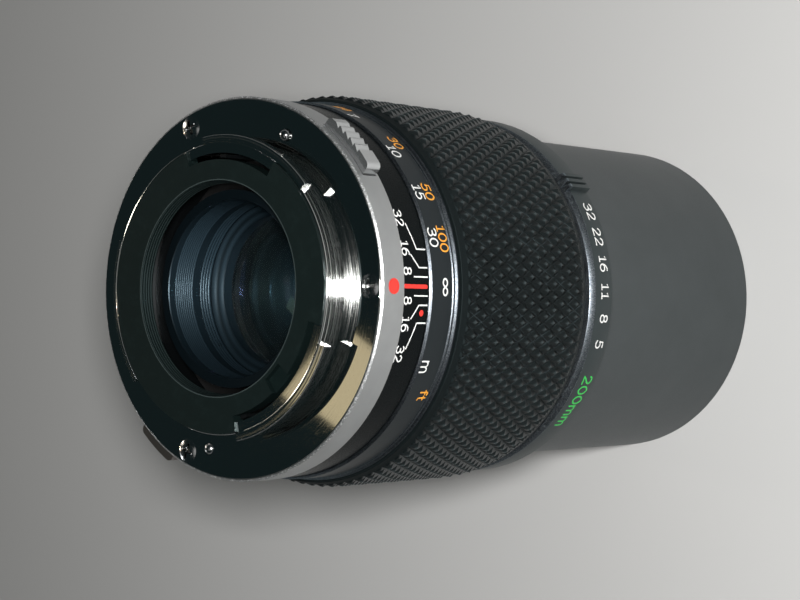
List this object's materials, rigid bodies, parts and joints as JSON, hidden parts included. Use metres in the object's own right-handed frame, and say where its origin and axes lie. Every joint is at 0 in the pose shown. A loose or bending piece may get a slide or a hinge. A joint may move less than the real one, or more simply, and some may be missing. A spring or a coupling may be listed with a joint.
{
  "type": "telephoto lens",
  "caption": "Telephoto camera lens with a bayonet mount, knurled focusing ring with helicoid, clicking aperture ring, leaf iris, stop-down lever and sliding built-in hood.",
  "frame": {"origin": "centre of the bayonet mount's flange face, on the optical axis", "axes": "+Z is the optical axis, out of the mount towards the camera body; +X points to the index dot and the focus and aperture index line; +Y completes the frame"},
  "size_m": [0.062, 0.062, 0.1089],
  "materials": {
    "chrome": "polished",
    "satin_silver": "satin anodised",
    "red_enamel": "gloss",
    "matte_black": "matte",
    "black_enamel": "satin",
    "grey_metal": "satin",
    "barrel_metal": "turned",
    "brass": "turned",
    "steel": "bright",
    "black_rubber": "matte",
    "coated_glass": "coated",
    "black_felt": "felt"
  },
  "bodies": {
    "barrel": {"mount_plate": "chrome", "mount_screws": "chrome", "guide_pin": "chrome", "mount_ring": "satin_silver", "index_dot": "red_enamel", "rear_cover": "matte_black", "fixed_barrel": "barrel_metal", "depth_scale_ring": "black_enamel", "focus_retainer": "black_enamel", "guide_keys": "brass", "key_screws": "steel", "focus_stop_pin": "steel", "lock_spring": "steel", "release_spring": "steel", "preview_spring": "steel"},
    "lock_pin": {"lock_pin": "chrome"},
    "release_button": {"release_button": "grey_metal"},
    "preview_button": {"preview_button": "grey_metal"},
    "stop_down_lever": {"stop_down_lever": "steel"},
    "aperture_coupler": {"aperture_coupler": "steel"},
    "focus_ring": {"focus_ring": "black_enamel", "grip_rubber": "black_rubber", "focus_helicoid": "brass", "helicoid_set_screws": "steel"},
    "front_barrel": {"helicoid_barrel": "barrel_metal", "joint_screws": "steel", "front_barrel": "black_enamel", "filter_ring": "black_enamel", "lens_tube": "matte_black", "rear_cell": "matte_black", "rear_baffle": "matte_black", "baffle_screw": "steel", "rear_retaining_ring": "matte_black", "rear_spacer": "matte_black", "lens_1": "coated_glass", "lens_2": "coated_glass", "lens_3": "coated_glass", "lens_4": "coated_glass", "lens_5": "coated_glass", "lens_6": "coated_glass", "front_cell": "matte_black", "front_spacer": "matte_black", "middle_retaining_ring": "matte_black", "front_retaining_ring": "matte_black", "iris_housing": "matte_black", "ring_keeper": "black_enamel", "click_ball": "steel", "click_spring": "steel"},
    "aperture_ring": {"aperture_ring": "black_enamel", "aperture_link": "steel"},
    "hood": {"hood": "black_enamel", "hood_felt": "black_felt"},
    "iris_cam_ring": {"iris_cam_ring": "steel"},
    "iris_blade_1": {"iris_blade_1": "steel"},
    "iris_blade_2": {"iris_blade_2": "steel"},
    "iris_blade_3": {"iris_blade_3": "steel"},
    "iris_blade_4": {"iris_blade_4": "steel"},
    "iris_blade_5": {"iris_blade_5": "steel"},
    "iris_blade_6": {"iris_blade_6": "steel"}
  },
  "joints": [
    {"name": "release_press", "type": "slide", "parent": "barrel", "child": "release_button", "axis": [-0.7133, -0.7009, 0], "range_m": [0, 0.0012], "stiffness_N_per_m": 400, "springref_m": -0.003, "deforming": ["release_spring"]},
    {"name": "lock_pin_drop", "type": "slide", "parent": "barrel", "child": "lock_pin", "axis": [0, 0, -1], "range_m": [0, 0.0013], "deforming": ["lock_spring"]},
    {"name": "preview_press", "type": "slide", "parent": "barrel", "child": "preview_button", "axis": [0.6088, 0.7934, 0], "range_m": [0, 0.0015], "deforming": ["preview_spring"]},
    {"name": "stop_down_turn", "type": "hinge", "parent": "barrel", "child": "stop_down_lever", "pos_m": [0, 0, -0.0032], "axis": [0, 0, 1], "range_deg": [0, 30], "stiffness_Nm_per_rad": 0.01, "springref_deg": -22.92},
    {"name": "coupler_turn", "type": "hinge", "parent": "barrel", "child": "aperture_coupler", "pos_m": [0, 0, -0.006], "axis": [0, 0, 1], "range_deg": [-25.5, 17]},
    {"name": "focus_turn", "type": "hinge", "parent": "barrel", "child": "focus_ring", "pos_m": [0, 0, -0.0122], "axis": [0, 0, -1], "range_deg": [0, 208]},
    {"name": "front_slide", "type": "slide", "parent": "barrel", "child": "front_barrel", "axis": [0, 0, -1], "range_m": [0, 0.0192]},
    {"name": "aperture_turn", "type": "hinge", "parent": "front_barrel", "child": "aperture_ring", "pos_m": [0, 0, -0.054], "axis": [0, 0, 1], "range_deg": [-25.5, 17]},
    {"name": "hood_pull", "type": "slide", "parent": "front_barrel", "child": "hood", "axis": [0, 0, -1], "range_m": [0, 0.028]},
    {"name": "iris_cam_turn", "type": "hinge", "parent": "front_barrel", "child": "iris_cam_ring", "pos_m": [0, 0, -0.0569], "axis": [0, 0, 1], "range_deg": [0, 30]},
    {"name": "iris_blade_1_turn", "type": "hinge", "parent": "front_barrel", "child": "iris_blade_1", "pos_m": [0.0218, 0, -0.058], "axis": [0, 0, 1], "range_deg": [0, 20]},
    {"name": "iris_blade_2_turn", "type": "hinge", "parent": "front_barrel", "child": "iris_blade_2", "pos_m": [0.0109, 0.01888, -0.058], "axis": [0, 0, 1], "range_deg": [0, 20]},
    {"name": "iris_blade_3_turn", "type": "hinge", "parent": "front_barrel", "child": "iris_blade_3", "pos_m": [-0.0109, 0.01888, -0.058], "axis": [0, 0, 1], "range_deg": [0, 20]},
    {"name": "iris_blade_4_turn", "type": "hinge", "parent": "front_barrel", "child": "iris_blade_4", "pos_m": [-0.0218, 0, -0.058], "axis": [0, 0, 1], "range_deg": [0, 20]},
    {"name": "iris_blade_5_turn", "type": "hinge", "parent": "front_barrel", "child": "iris_blade_5", "pos_m": [-0.0109, -0.01888, -0.058], "axis": [0, 0, 1], "range_deg": [0, 20]},
    {"name": "iris_blade_6_turn", "type": "hinge", "parent": "front_barrel", "child": "iris_blade_6", "pos_m": [0.0109, -0.01888, -0.058], "axis": [0, 0, 1], "range_deg": [0, 20]}
  ],
  "couplings": [
    {"joint": "lock_pin_drop", "follows": "release_press", "ratio": 1.0833},
    {"joint": "preview_press", "follows": "stop_down_turn", "m_per_rad": 0.0028647},
    {"joint": "iris_cam_turn", "follows": "stop_down_turn", "ratio": 1},
    {"joint": "front_slide", "follows": "focus_turn", "m_per_rad": 0.0052839},
    {"joint": "coupler_turn", "follows": "aperture_turn", "ratio": 1},
    {"joint": "iris_blade_1_turn", "follows": "stop_down_turn", "ratio": 0.66666},
    {"joint": "iris_blade_2_turn", "follows": "stop_down_turn", "ratio": 0.66666},
    {"joint": "iris_blade_3_turn", "follows": "stop_down_turn", "ratio": 0.66666},
    {"joint": "iris_blade_4_turn", "follows": "stop_down_turn", "ratio": 0.66666},
    {"joint": "iris_blade_5_turn", "follows": "stop_down_turn", "ratio": 0.66666},
    {"joint": "iris_blade_6_turn", "follows": "stop_down_turn", "ratio": 0.66666}
  ]
}
